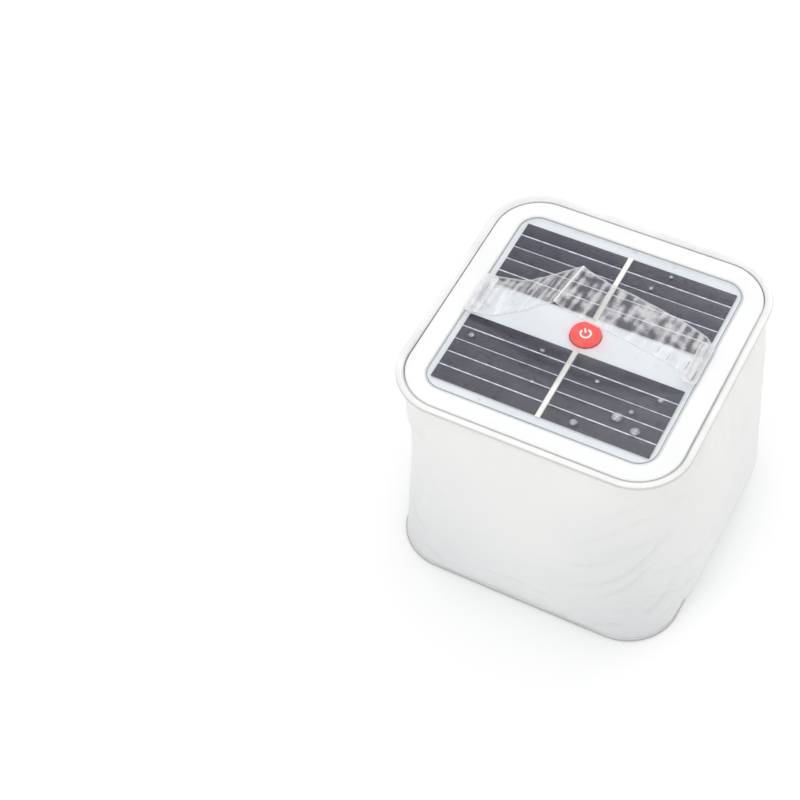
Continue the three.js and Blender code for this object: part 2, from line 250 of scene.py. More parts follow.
def keep_rest(obj, places=None):
    """Stores each point's place before any joint moves, so that a pattern stays on soft film."""
    places = places or [v.co for v in obj.data.vertices]
    layer = obj.data.attributes.new("rest", "FLOAT_VECTOR", "POINT")
    layer.data.foreach_set("vector", [c for p in places for c in p])
    return obj


# ---- shader helpers -------------------------------------------------------------------
class Shader:
    """A Principled material with a few node shortcuts. Patterns are placed in metres: in the piece's own
    space, or for soft film in the rest space that keep_rest stores."""

    def __init__(self, name, soft=False, **sockets):
        self.material = bpy.data.materials.new(name)
        self.material.use_nodes = True
        self.tree = self.material.node_tree
        self.bsdf = self.tree.nodes["Principled BSDF"]
        for socket, value in sockets.items():
            self.set(self.bsdf, socket.replace("_", " "), value)
        if soft:
            self.place = self.attribute("rest", "Vector")
        else:
            self.place = self.add("TexCoord").outputs["Object"]

    def add(self, kind):
        return self.tree.nodes.new("ShaderNode" + kind)

    @staticmethod
    def set(node, socket, value):
        node.inputs[socket].default_value = value

    def wire(self, source, node, socket):
        self.tree.links.new(source, node.inputs[socket])

    def stretched(self, scale):
        node = self.add("Mapping")
        self.set(node, "Scale", scale)
        self.wire(self.place, node, "Vector")
        return node.outputs["Vector"]

    def noise(self, scale, detail=3.0, place=None):
        node = self.add("TexNoise")
        self.set(node, "Scale", scale)
        self.set(node, "Detail", detail)
        self.wire(place or self.place, node, "Vector")
        return node.outputs["Fac"]

    def axis(self, letter):
        node = self.add("SeparateXYZ")
        self.wire(self.place, node, "Vector")
        return node.outputs[letter]

    def attribute(self, name, output="Fac"):
        node = self.add("Attribute")
        node.attribute_name = name
        return node.outputs[output]

    def from_axis(self):
        """Distance from the vertical line through the origin."""
        node = self.add("VectorMath")
        node.operation = "LENGTH"
        self.wire(self.stretched((1, 1, 0)), node, "Vector")
        return node.outputs["Value"]

    def math(self, operation, a, b=None, clamp=False):
        node = self.add("Math")
        node.operation = operation
        node.use_clamp = clamp
        for index, value in enumerate((a, b)):
            if value is None:
                continue
            if isinstance(value, (int, float)):
                node.inputs[index].default_value = value
            else:
                self.tree.links.new(value, node.inputs[index])
        return node.outputs[0]

    def span(self, value, low, high, out_low=0.0, out_high=1.0):
        node = self.add("MapRange")
        for socket, number in (("From Min", low), ("From Max", high),
                               ("To Min", out_low), ("To Max", out_high)):
            self.set(node, socket, number)
        self.wire(value, node, "Value")
        return node.outputs["Result"]

    def cloud(self, scale, out_low=0.0, out_high=1.0, detail=3):
        """Soft noise, spread so that it fills the range given."""
        return self.span(self.noise(scale, detail), 0.3, 0.7, out_low, out_high)

    def mix(self, factor, a, b):
        node = self.add("Mix")
        node.data_type = "RGBA"
        self.wire(factor, node, "Factor")
        for socket, value in (("A", a), ("B", b)):
            target = [s for s in node.inputs if s.name == socket and s.type == "RGBA"][0]
            if isinstance(value, tuple):
                target.default_value = (*value, 1.0)
            else:
                self.tree.links.new(value, target)
        return [s for s in node.outputs if s.type == "RGBA"][0]

    def color(self, source):
        self.wire(source, self.bsdf, "Base Color")

    def rough(self, source):
        self.wire(source, self.bsdf, "Roughness")

    def alpha(self, source):
        self.wire(source, self.bsdf, "Alpha")

    def bump(self, height, strength, distance):
        node = self.add("Bump")
        self.set(node, "Strength", strength)
        self.set(node, "Distance", distance)
        self.wire(height, node, "Height")
        previous = self.bsdf.inputs["Normal"].links
        if previous:
            self.wire(previous[0].from_socket, node, "Normal")
        self.wire(node.outputs["Normal"], self.bsdf, "Normal")


def paint(obj, material, shades=True):
    """Gives the object one material. Clear film lets the light through to what lies under it."""
    obj.data.materials.clear()
    obj.data.materials.append(material)
    obj.visible_shadow = obj.visible_diffuse = shades
    return obj


def place(obj, material, body, slot, *nodes, shades=True):
    """Paints a piece, hangs it on the body it rides and hides the CAD nodes it stands for. slot is not used.
    """
    paint(obj, material, shades)
    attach(obj, body)
    if nodes:
        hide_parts(*nodes)


# ---- materials ------------------------------------------------------------------------
def frosted_film():
    """Milky film with a fine grain and a soft sheen, with painted shade: greyer low down and at the two
    front corners.
    """
    s = Shader("frosted_film", soft=True, Subsurface_Weight=0.2, Subsurface_Scale=4 * MM,
               Subsurface_Radius=(1.0, 1.0, 1.0), IOR=1.45, Coat_Weight=0.1, Coat_Roughness=0.35)
    # Painted shade: the colour turns greyer and cooler towards the foot, where less of the light from above
    # reaches, broken up by soft patches.
    height = s.span(s.axis("Z"), 0.0, 110 * MM)
    level = s.math("ADD", height, s.cloud(26, -0.2, 0.2), clamp=True)
    shade = s.mix(level, (0.672, 0.685, 0.693), (0.748, 0.748, 0.73))
    # Painted shade at the two front corners, deepest at their foot.
    near_corner = s.span(s.from_axis(), 68 * MM, 82 * MM)
    near_front = s.span(s.axis("Y"), -35 * MM, -60 * MM)
    front_corner = s.math("MULTIPLY", near_corner, near_front)
    painted_corner_shade = s.math("MULTIPLY", front_corner, s.span(height, 0.9, 0.0, 0.25, 1.0))
    shade = s.mix(painted_corner_shade, shade, (0.56, 0.575, 0.585))
    grain = s.noise(2600, 2)
    s.color(s.mix(s.span(grain, 0.35, 0.65, 0.0, 0.08), shade, (0.9, 0.9, 0.9)))
    s.rough(s.cloud(90, 0.4, 0.55))
    s.bump(grain, 0.10, 0.00012)
    s.bump(s.noise(130, 4, place=s.stretched((1, 1, 2.2))), 0.2, 0.0005)
    return s.material


def window_film():
    """Clear film lying over the panel: a thin veil, with a painted reflection that grows towards the front
    and the right.
    """
    s = Shader("window_film", Base_Color=(0.92, 0.94, 0.97, 1.0), IOR=1.5)
    ripple = s.noise(70, 3, place=s.stretched((1.0, 1.6, 1.0)))
    veil = s.span(ripple, 0.3, 0.75, 0.0, 0.008)
    # Painted reflection: the pale veil thickens towards the front and the right, in place of the film's
    # gloss.
    front = s.span(s.axis("Y"), 40 * MM, -45 * MM, 0.0, 0.014)
    right = s.span(s.axis("X"), -40 * MM, 40 * MM, 0.0, 0.016)
    s.alpha(s.math("ADD", veil, s.math("ADD", front, right)))
    s.rough(s.cloud(300, 0.05, 0.12, detail=2))
    s.bump(ripple, 0.15, 0.0006)
    return s.material


def laminate():
    """Clear sheet over the cells, with a dark cut edge: partly the edge itself, partly painted shade of the
    step at the frame's window.
    """
    s = Shader("laminate", Roughness=0.1, IOR=1.5)
    edge = s.attribute("edge")
    # Painted shade: the cut edge is darkened for the shade where the frame steps down to the sheet.
    s.color(s.mix(edge, (0.9, 0.92, 0.95), (0.26, 0.27, 0.28)))
    haze = s.cloud(45, 0.002, 0.006)
    s.alpha(s.math("MAXIMUM", haze, s.math("MULTIPLY", edge, 0.8)))
    s.bump(s.noise(60, 2), 0.08, 0.0004)
    return s.material


def strap_film(name, veil, shine, spread=0.72):
    """Creased clear film: a painted highlight along its edges and its crest, clouded where it is crumpled,
    with a few painted dark reflections.
    """
    s = Shader(name, soft=True, IOR=1.5, Coat_Weight=0.3, Coat_Roughness=0.1)
    edge, crumple = s.attribute("edge"), s.attribute("crumple")
    fine = s.noise(900, 3)
    # Painted reflection: dark dashes where the film mirrors something dark.
    dark_reflection = s.span(crumple, -0.2, -0.6)
    cloud = s.math("MULTIPLY", s.span(crumple, 0.0, 1.0), s.span(fine, 0.3, 0.7, 0.75, 1.25))
    # The painted highlight along the edges and the crest, and the lighter haze where the film is crumpled.
    haze_and_highlight = s.math("MAXIMUM", edge, cloud, clamp=True)
    clear = s.mix(haze_and_highlight, (0.66, 0.66, 0.69), (0.84, 0.84, 0.85))
    s.color(s.mix(dark_reflection, clear, (0.2, 0.2, 0.22)))
    patchy = s.span(cloud, 0.0, 1.0, veil * (1 - spread), veil * (1 + spread))
    veiled = s.math("MAXIMUM", s.math("MULTIPLY", edge, shine), patchy)
    s.alpha(s.math("MAXIMUM", veiled, s.math("MULTIPLY", dark_reflection, 0.3)))
    s.rough(s.span(fine, 0.3, 0.7, 0.08, 0.2))
    s.bump(s.noise(260, 3), 0.3, 0.0006)
    return s.material


def clear_plastic(name, veil):
    """Moulded clear plastic, faintly swirled."""
    s = Shader(name, IOR=1.5)
    swirl = s.noise(90, 3)
    s.color(s.mix(s.span(swirl, 0.3, 0.7), (0.78, 0.8, 0.82), (0.93, 0.95, 0.96)))
    s.alpha(s.span(swirl, 0.3, 0.7, veil * 0.75, veil * 1.25))
    s.rough(s.cloud(260, 0.05, 0.14, detail=2))
    s.bump(s.noise(150, 2), 0.1, 0.0004)
    return s.material


def weld_bead():
    """A welded film edge: bright on its crown, dark along its feet where the films meet, the weld line there
    deepened with painted shade.
    """
    s = Shader("weld_bead", IOR=1.5, Coat_Weight=0.4, Coat_Roughness=0.08)
    foot = s.attribute("edge")
    crown = s.mix(s.cloud(60), (0.72, 0.73, 0.72), (0.84, 0.84, 0.82))
    s.color(s.mix(foot, crown, (0.24, 0.24, 0.24)))
    s.rough(s.cloud(200, 0.08, 0.2, detail=2))
    s.bump(s.noise(140, 2), 0.12, 0.0004)
    return s.material


def contact_reflection():
    """Painted reflection where the film clings to the sheet below it: a pale round spot of reflected light
    that fades outwards.
    """
    s = Shader("contact_reflection", Roughness=0.3)
    s.color(s.mix(s.noise(1500, 2), (0.8, 0.83, 0.9), (0.95, 0.96, 1.0)))
    s.alpha(s.math("MULTIPLY", s.attribute("edge"), s.cloud(1200, 0.1, 0.42)))
    return s.material


def glossy_white():
    s = Shader("glossy_white", Coat_Weight=0.35, Coat_Roughness=0.1)
    s.color(s.mix(s.cloud(35), (0.79, 0.792, 0.795), (0.83, 0.832, 0.835)))
    s.rough(s.cloud(240, 0.16, 0.26))
    s.bump(s.noise(900, 2), 0.05, 0.0001)
    return s.material


def backsheet_white():
    """Pale blue-white sheet, faintly blotched, with painted red light round the button, bounced from it."""
    s = Shader("backsheet_white", Roughness=0.35, Coat_Weight=0.2, Coat_Roughness=0.1)
    plain = s.mix(s.span(s.noise(48, 4), 0.35, 0.7), (0.635, 0.68, 0.715), (0.70, 0.735, 0.76))
    blotch = s.span(s.noise(190, 3), 0.62, 0.74, 0.0, 0.4)
    blotched = s.mix(blotch, plain, (0.42, 0.46, 0.54))
    # Painted light: a soft red glow round the button, the light it bounces onto the sheet.
    red_bounce_light = s.span(s.from_axis(), 7.2 * MM, 12.5 * MM, 0.5, 0.0)
    patchy = s.math("MULTIPLY", red_bounce_light, s.span(s.noise(170, 2), 0.4, 0.6))
    s.color(s.mix(patchy, blotched, (0.82, 0.52, 0.56)))
    s.bump(s.noise(500, 3), 0.1, 0.0002)
    return s.material


def silicon():
    """Near-black silicon with a violet cast and fine silver fingers along X."""
    s = Shader("silicon", IOR=1.45, Coat_Weight=0.25, Coat_Roughness=0.2)
    finger_pitch = 1.41 * MM
    wave = s.math("PINGPONG", s.axis("Y"), finger_pitch / 2)
    finger = s.span(wave, 0.04 * MM, 0.11 * MM, 1.0, 0.0)
    body = s.mix(s.cloud(55, detail=4), (0.016, 0.016, 0.032), (0.030, 0.029, 0.048))
    s.color(s.mix(s.math("MULTIPLY", finger, 0.25), body, (0.2, 0.2, 0.24)))
    s.rough(s.cloud(150, 0.22, 0.38))
    s.bump(s.noise(1400, 2), 0.02, 0.0001)
    return s.material


def white_ink():
    s = Shader("white_ink", Roughness=0.4)
    s.color(s.mix(s.noise(900, 2), (0.88, 0.8, 0.79), (0.95, 0.93, 0.92)))
    return s.material


def mottled(name, dark, light, roughness, patch=150, grain=1200, strength=0.15, relief=0.0001, detail=2,
            low=0.3, high=0.7, **sockets):
    """A plain finish: soft patches of two shades under a fine grain."""
    s = Shader(name, Roughness=roughness, **sockets)
    s.color(s.mix(s.span(s.noise(patch), low, high), dark, light))
    s.bump(s.noise(grain, detail), strength, relief)
    return s.material


def metal(name, dark, light, roughness):
    s = Shader(name, Metallic=0.9)
    s.color(s.mix(s.cloud(400), dark, light))
    s.rough(s.cloud(900, roughness - 0.08, roughness + 0.1, detail=2))
    return s.material


MATERIALS = {
    "clear_film": clear_plastic("clear_film", 0.3),
    "frosted_film": frosted_film(),
    "weld": weld_bead(),
    "bezel": glossy_white(),
    "white_case": mottled("satin_white", (0.78, 0.79, 0.8), (0.86, 0.865, 0.87), 0.5, 60, 1800, 0.2,
                          low=0.0, high=1.0),
    "backsheet": backsheet_white(),
    "solar_cell": silicon(),
    "ribbon": mottled("tinned_ribbon", (0.78, 0.77, 0.72), (0.93, 0.92, 0.88), 0.32, 240, 700, 0.3, 0.0002,
                      detail=3, Metallic=0.35),
    "laminate": laminate(),
    "button_red": mottled("red_silicone", (0.82, 0.035, 0.032), (0.92, 0.06, 0.05), 0.34, 300, 1600, 0.08,
                          Coat_Weight=0.25, Coat_Roughness=0.2),
    "circuit_board": mottled("solder_mask", (0.02, 0.12, 0.06), (0.04, 0.18, 0.09), 0.35),
    "black_plastic": mottled("black_plastic", (0.012, 0.012, 0.013), (0.03, 0.03, 0.032), 0.45),
    "steel": metal("steel", (0.42, 0.43, 0.44), (0.62, 0.63, 0.64), 0.3),
    "led_lens": clear_plastic("led_lens", 0.5),
    "led": mottled("led_phosphor", (0.78, 0.62, 0.16), (0.9, 0.76, 0.3), 0.4),
    "battery": metal("battery_foil", (0.36, 0.38, 0.4), (0.52, 0.55, 0.58), 0.4),
    "foam": mottled("foam", (0.015, 0.015, 0.016), (0.04, 0.04, 0.042), 0.9, 325, 2600),
    "wire_red": mottled("wire_red", (0.4, 0.015, 0.012), (0.55, 0.03, 0.02), 0.45),
    "wire_black": mottled("wire_black", (0.01, 0.01, 0.01), (0.025, 0.025, 0.026), 0.45),
}
WHITE_INK = white_ink()
PRINTED_SILVER = mottled("printed_silver", (0.42, 0.45, 0.58), (0.80, 0.83, 0.92), 0.4, 420, strength=0.2,
                         low=0.35, high=0.65, Metallic=0.2)
WINDOW_FILM = window_film()
PANEL_STRAP_FILM = strap_film("panel_strap_film", 0.21, 0.75)
BASE_STRAP_FILM = strap_film("base_strap_film", 0.6, 0.85, spread=0.25)
PAD_FILM = strap_film("strap_pad_film", 0.12, 0.5)
CONTACT_REFLECTION = contact_reflection()


# ---- camera, floor and light ----------------------------------------------------------
def place_camera():
    """The viewpoint: the lantern stands right of centre, seen from above."""
    azimuth, elevation, roll = (math.radians(a) for a in (32.36, 52.65, -5.43))
    width = 2 * RIM_HALF
    distance, aside, raised = 6.237 * width, -0.611 * width, 0.112 * width
    middle = 0.4475 * width
    back = Vector((math.sin(azimuth) * math.cos(elevation),
                   -math.cos(azimuth) * math.cos(elevation), math.sin(elevation)))
    right = Vector((math.cos(azimuth), math.sin(azimuth), 0))
    up = back.cross(right)
    rolled_right = math.cos(roll) * right + math.sin(roll) * up
    rolled_up = -math.sin(roll) * right + math.cos(roll) * up
    data = bpy.data.cameras.new("camera")
    data.lens = 82.88
    data.clip_start, data.clip_end = 0.01, 20
    camera = bpy.data.objects.new("camera", data)
    turn = Matrix((rolled_right, rolled_up, back)).transposed().to_4x4()
    at = Vector((0, 0, middle)) + back * distance + right * aside + up * raised
    camera.matrix_world = Matrix.Translation(at) @ turn
    bpy.context.scene.collection.objects.link(camera)
    bpy.context.scene.camera = camera


def place_floor():
    half = 6.0
    corners = [(-half, -half, 0), (half, -half, 0), (half, half, 0), (-half, half, 0)]
    floor = make_object("floor", corners, [(0, 1, 2, 3)])
    s = Shader("floor", Roughness=0.6)
    s.color(s.mix(s.noise(3, 2), (0.915, 0.915, 0.915), (0.925, 0.925, 0.925)))
    paint(floor, s.material)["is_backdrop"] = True


def area_light(name, at, towards, size, power):
    data = bpy.data.lights.new(name, "AREA")
    data.shape = "RECTANGLE"
    data.size, data.size_y = size
    data.energy = power
    light = bpy.data.objects.new(name, data)
    aim = Vector(towards) - Vector(at)
    light.matrix_world = Matrix.Translation(at) @ aim.to_track_quat("-Z", "Y").to_matrix().to_4x4()
    bpy.context.scene.collection.objects.link(light)


def place_lights():
    world = bpy.data.worlds.new("studio")
    world.use_nodes = True
    background = world.node_tree.nodes["Background"]
    background.inputs["Color"].default_value = (1.0, 1.0, 1.0, 1.0)
    background.inputs["Strength"].default_value = 1.06
    bpy.context.scene.world = world
    lantern = (0, 0, 0.06)
    area_light("key", (-0.2, -0.9, 1.3), lantern, size=(1.0, 0.8), power=3)
    area_light("back", (0.3, 1.2, 0.9), lantern, size=(1.2, 0.5), power=3)
    bpy.context.scene.view_settings.view_transform = "Standard"


# ---- inflated envelope ----------------------------------------------------------------
# Soft folds on the front wall: (across, up) in millimetres from the foot of its middle, depth, half width.
FRONT_FOLDS = [
    ([(24, 36), (42, 43), (57, 59), (69, 74)], 0.95, 2.0),
    ([(31, 27), (47, 38), (60, 56)], 0.8, 1.8),
    ([(12, 52), (30, 52), (47, 60), (61, 71)], 0.5, 2.2),
    ([(27, 66), (45, 79), (63, 95)], 0.5, 2.2),
    ([(54, 12), (63, 24), (69, 42)], 0.8, 1.6),
    ([(61, 9), (70, 19), (75, 31)], 0.6, 1.5),
    ([(-61, 95), (-53, 87), (-41, 86)], 0.6, 1.8),
    ([(-58, 22), (-50, 36), (-47, 55)], 0.45, 2.4),
    ([(-20, 16), (0, 21), (22, 17)], 0.35, 2.4),
]
SIDE_FOLDS = [
    ([(-60, 30), (-42, 24), (-20, 28)], 0.7, 2.0),
    ([(-66, 52), (-46, 42), (-22, 44), (4, 50)], 0.7, 2.2),
    ([(60, 88), (44, 80), (28, 82)], 0.6, 2.0),
    ([(66, 28), (52, 38), (46, 58)], 0.6, 2.2),
    ([(14, 14), (34, 20), (54, 14)], 0.5, 2.0),
]
# Which folds each face takes, counted from the front: face, folds, mirrored or not, millimetres higher.
FOLDED_FACES = [
    (0, FRONT_FOLDS, 1, 0), (1, SIDE_FOLDS, 1, 0), (2, SIDE_FOLDS, -1, 6),
    (-1, FRONT_FOLDS, -1, -4), (-2, SIDE_FOLDS, -1, 6),
]
FOLD_DEPTH = 1.35
# The ridge above each valley, in half widths of the valley: how high, how far from it and how wide.
RIDGE_HEIGHT, RIDGE_AWAY, RIDGE_WIDTH = 0.65, 1.9, 1.3


def simulate_inflation(obj, pinned, frames, pressure, growth):
    """Blows the film out with cloth simulation, ten times life size, and keeps the result."""
    grown = 10.0
    obj.data.transform(Matrix.Scale(grown, 4))
    group = obj.vertex_groups.new(name="pinned")
    group.add(pinned, 1.0, "REPLACE")
    cloth = obj.modifiers.new("cloth", "CLOTH")
    settings = cloth.settings
    settings.quality = 6
    settings.mass = 0.2
    settings.air_damping = 2.0
    settings.tension_stiffness = settings.compression_stiffness = 30
    settings.shear_stiffness = 12
    settings.bending_stiffness = 1.2
    settings.effector_weights.gravity = 0
    settings.use_pressure = True
    settings.uniform_pressure_force = pressure
    settings.shrink_min = -growth
    settings.vertex_group_mass = "pinned"
    cloth.collision_settings.use_self_collision = False
    scene = bpy.context.scene
    cloth.point_cache.frame_start, cloth.point_cache.frame_end = 1, frames
    for number in range(1, frames + 1):
        scene.frame_set(number)
    apply_modifiers(obj)
    scene.frame_set(1)
    obj.data.transform(Matrix.Scale(1 / grown, 4))


def unrolled(x, y, half, radius):
    """Distance along the wall from the middle of the front face: right is positive."""
    flat = half - radius
    quarter = 2 * flat + radius * math.pi / 2
    face = np.round(np.arctan2(x, -y) / (math.pi / 2))
    cos, sin = np.cos(face * math.pi / 2), np.sin(face * math.pi / 2)
    across, out = x * cos + y * sin, x * sin - y * cos
    turn = np.clip(np.arctan2(np.abs(across) - flat, out - flat), 0, math.pi / 4)
    past = np.abs(across) > flat
    along = np.where(past, flat + radius * turn, np.abs(across)) * np.sign(across)
    return face * quarter + along, quarter


def press_folds(obj, half, radius):
    """Presses soft folds into the walls: each a valley with a ridge above it, fading at both ends."""
    mesh = obj.data
    count = len(mesh.vertices)
    at, normal = np.empty(count * 3), np.empty(count * 3)
    mesh.vertices.foreach_get("co", at)
    mesh.vertex_normals.foreach_get("vector", normal)
    at, normal = at.reshape(-1, 3), normal.reshape(-1, 3)
    around, quarter = unrolled(at[:, 0], at[:, 1], half, radius)
    push = np.zeros(count)
    for face, folds, mirror, lift in FOLDED_FACES:
        for points, depth, width in folds:
            line = smooth_line([(x * mirror, z + lift) for x, z in points], 5)
            near = np.full(count, np.inf)
            side, run = np.zeros(count), np.zeros(count)
            for k, (a, b) in enumerate(zip(line, line[1:])):
                ax, az = a.x + face * quarter, a.z
                dx, dz = b.x - a.x, b.z - a.z
                length = math.hypot(dx, dz)
                px, pz = around - ax, at[:, 2] - az
                t = np.clip((px * dx + pz * dz) / length ** 2, 0, 1)
                gap = np.hypot(px - t * dx, pz - t * dz)
                closer = gap < near
                near = np.where(closer, gap, near)
                above = np.sign((pz * dx - px * dz) * mirror)
                side = np.where(closer, gap * above, side)
                run = np.where(closer, (k + t) / (len(line) - 1), run)
            d = side / (width * MM)
            fade = np.sin(math.pi * run) ** 0.8
            ridge = RIDGE_HEIGHT * np.exp(-((d - RIDGE_AWAY) / RIDGE_WIDTH) ** 2)
            push += FOLD_DEPTH * depth * MM * fade * (ridge - np.exp(-d ** 2))
    at += normal * push[:, None]
    mesh.vertices.foreach_set("co", at.ravel())
    mesh.update()


def clear_of_bezel(obj, depth, gap):
    """Keeps the top of the walls outside the panel frame, which sinks between them as they collapse."""
    flat = BEZEL_HIGH.x - BEZEL_RADIUS
    reach = BEZEL_RADIUS + gap
    for vertex in obj.data.vertices:
        if vertex.co.z < RIM_LOW.z - depth:
            continue
        past_x, past_y = max(abs(vertex.co.x) - flat, 0), max(abs(vertex.co.y) - flat, 0)
        away = math.hypot(past_x, past_y)
        if 0 < away < reach:
            vertex.co.x += math.copysign(past_x * (reach / away - 1), vertex.co.x)
            vertex.co.y += math.copysign(past_y * (reach / away - 1), vertex.co.y)


def build_side_walls():
    """The frosted walls: a tube of film welded to both rims and blown out by the air."""
    corner, side, rows = 12, 30, 48
    low, high = BASE_LOW.z + 0.9 * MM, RIM_LOW.z + 1.6 * MM
    foot_inset, head_inset = 1.0 * MM, 2.2 * MM
    radius = RIM_RADIUS - 1.5 * MM
    loops = []
    for row in range(rows + 1):
        t = row / rows
        half = (BASE_HALF - foot_inset) * (1 - t) + (RIM_HALF - head_inset) * t
        loops.append(rounded_loop(half, half, radius, low + (high - low) * t, corner, side))
    walls = loft("side_walls", loops)
    count = len(loops[0])
    pinned = list(range(count)) + list(range(rows * count, (rows + 1) * count))
    simulate_inflation(walls, pinned, frames=24, pressure=1.5, growth=0.015)
    # The whole tube leans a little to the far right, and that side is drawn in towards its top.
    towards, lean, drawn_in = Vector((0.882, 0.471, 0)), 2.0, 3.4
    for vertex in walls.data.vertices:
        t = min(1, max(0, (vertex.co.z - low) / (high - low)))
        far_side = smooth_step(vertex.co.dot(towards) / BASE_HALF)
        vertex.co += towards * (lean - drawn_in * t * far_side) * MM * math.sin(math.pi * t)
    add_modifier(walls, "SUBSURF", levels=1, render_levels=1)
    apply_modifiers(walls)
    press_folds(walls, SLEEVE_HALF, radius)
    clear_of_bezel(walls, depth=24 * MM, gap=0.4 * MM)
    keep_rest(walls)
    paint(walls, MATERIALS["frosted_film"])
    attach(walls, "base")
    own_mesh(walls)
    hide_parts("side_sleeve")


def bead_profile(width, thick, centre_z, steps=24):
    """The closed section of a welded edge, as (offset, z) from its outer side: a round bead that thins
    to a flat foot on the inside."""
    bead, toe, foot = 0.42 * width, 0.02 * thick, 0.16 * thick
    top = []
    for k in range(steps + 1):
        t = k / steps
        offset = -width * (1 - math.cos(math.pi * t)) / 2
        crown = math.sqrt(max(0.0, 1 - ((-offset - bead) / bead) ** 2))
        half = max(0.5 * thick * crown, foot if t > 0.5 else toe)
        top.append((offset, half))
    return [(o, centre_z + h) for o, h in top] + [(o, centre_z - h) for o, h in reversed(top)]


def build_rim(name, node, body, half, width, thick, centre, inner, outer, band):
    """One welded edge: inner and outer say how dark its feet are, band how wide the outer one is. The foot
    beside the frame is painted darker and wider towards the front, as painted shade in the gap beside the
    frame."""
    profile = bead_profile(width, thick, centre)
    ring = swept_ring(name, half, RIM_RADIUS, profile, 20, 26)
    count = len(ring.data.vertices) // len(profile)
    rear_dark, rear_shade_width, front_shade_width = 0.15, 0.4 * MM, 1.0 * MM
    edge = []
    for k, vertex in enumerate(ring.data.vertices):
        offset = profile[k // count][0]
        # Painted shade: the foot beside the frame darkens and widens towards the front, where the gap's
        # shade shows.
        front = smooth_step(0.5 + (0.5 * vertex.co.x - 0.8 * vertex.co.y) / (1.6 * half))
        shade_width = rear_shade_width + (front_shade_width - rear_shade_width) * front
        inside = smooth_step(1 - (width + offset) / shade_width) * (rear_dark + (inner - rear_dark) * front)
        outside = smooth_step(1 + offset / band) * outer
        edge.append(max(inside, outside))
    mark(ring, "edge", edge)
    place(ring, MATERIALS["weld"], body, "weld", node)


def build_rims():
    """The two welded edges. Each is bright on its crown and dark along both feet, partly weld line and
    partly painted shade.
    """
    build_rim("panel_rim_bead", "panel_rim_weld", "head", RIM_HALF, width=RIM_BEAD, thick=2.6 * MM,
              centre=RIM_HIGH.z - 1.3 * MM, inner=1.0, outer=0.5, band=0.5 * MM)
    build_rim("base_rim_bead", "base_rim_weld", "base", BASE_HALF, width=2.4 * MM, thick=1.3 * MM,
              centre=BASE_LOW.z + 0.65 * MM, inner=0.5, outer=0.8, band=1.1 * MM)


def rippled(middle, half, broad, fine, steep):
    """A height(x, y) for a film that lies flat at its edge: broad and fine ripples, each given as
    (x scale, y scale, seed, millimetres)."""
    def height(x, y):
        edge = max(abs(x), abs(y)) / half
        waves = sum(noise.noise(Vector((x * across, y * along, seed))) * size
                    for across, along, seed, size in (broad, fine))
        return middle + waves * MM * smooth_step((1 - edge) * steep)
    return height


def film_between(name, outer, inner, height, thick):
    """A film from one rounded square or circle to another: (half, radius, centre y), with height(x, y)."""
    rings = 34
    loops = []
    for ring in range(rings + 1):
        t = ring / rings
        half, radius, cy = (a + (b - a) * t for a, b in zip(outer, inner))
        loop = rounded_loop(half, half, radius, 0, 10, 22, cy=cy)
        loops.append([(x, y, height(x, y)) for x, y, _ in loop])
    film = loft(name, loops)
    add_modifier(film, "SOLIDIFY", thickness=thick, offset=0)
    return face_out(apply_modifiers(film))


def build_window_film():
    """The clear film over the panel: taut at the rim, faintly rippled over the frame."""
    top = FILM_HIGH.z - 0.15 * MM
    height = rippled(top, RIM_HALF, broad=(38, 60, 3.1, 0.22), fine=(120, 90, 7.7, 0.06), steep=8)
    inset = RIM_LIP - 0.6 * MM
    outer = (RIM_HALF - inset, RIM_RADIUS - inset, 0)
    film = film_between("window_film", outer, (0.3 * MM, 0.1 * MM, 0), height, 0.2 * MM)
    place(film, WINDOW_FILM, "head", "clear_film", "panel_window_film", shades=False)


# Where the window film clings to the sheet below it, shown as a painted reflection: (x, y, radius) in
# millimetres.
CONTACTS = [
    (14, -42, 1.9), (28, -32.5, 2.7), (37, -36, 2.3), (32, -28, 1.2), (-12, -15, 1.1), (-41, -20, 1.5),
    (14, -20, 1.1), (-9, -31, 1.0), (40, -18, 1.4), (14, 33, 1.2), (19, 42, 1.0),
]


def build_contact_reflections():
    """Thin round discs on the laminate, painted pale as reflected light, that fade outwards."""
    discs, fades = [], []
    top = LAMINATE_HIGH.z + 0.06 * MM
    for x, y, radius in CONTACTS:
        rows = [0.0, 0.35, 0.6, 0.8, 1.0]
        profile = [(radius * MM * r, top) for r in rows]
        profile += [(radius * MM * r, top - 0.05 * MM) for r in reversed(rows)]
        disc = turned("contact", profile, x * MM, y * MM, 24)
        for vertex in disc.data.vertices:
            away = math.hypot(vertex.co.x - x * MM, vertex.co.y - y * MM) / (radius * MM)
            fades.append(1 - smooth_step(2 * away - 0.9))
        discs.append(disc)
    marks = joined("contact_reflections", discs)
    mark(marks, "edge", fades)
    place(marks, CONTACT_REFLECTION, "head", "laminate")


# ---- valve side -----------------------------------------------------------------------
def build_valve_sheet():
    """The frosted film under the lantern, gently rippled, with a hole for the valve."""
    middle = (SHEET_LOW.z + SHEET_HIGH.z) / 2
    height = rippled(middle, BASE_HALF, broad=(30, 34, 5.3, 0.35), fine=(90, 110, 1.9, 0.12), steep=6)
    rim = (SHEET_HIGH.x - 1.2 * MM, RIM_RADIUS - 2 * MM, 0)
    hole = (VALVE_RADIUS - 3.5 * MM, VALVE_RADIUS - 4.0 * MM, VALVE_Y)
    sheet = film_between("valve_sheet", rim, hole, height, 0.3 * MM)
    keep_rest(sheet)
    place(sheet, MATERIALS["frosted_film"], "base", "frosted_film", "valve_side_sheet")


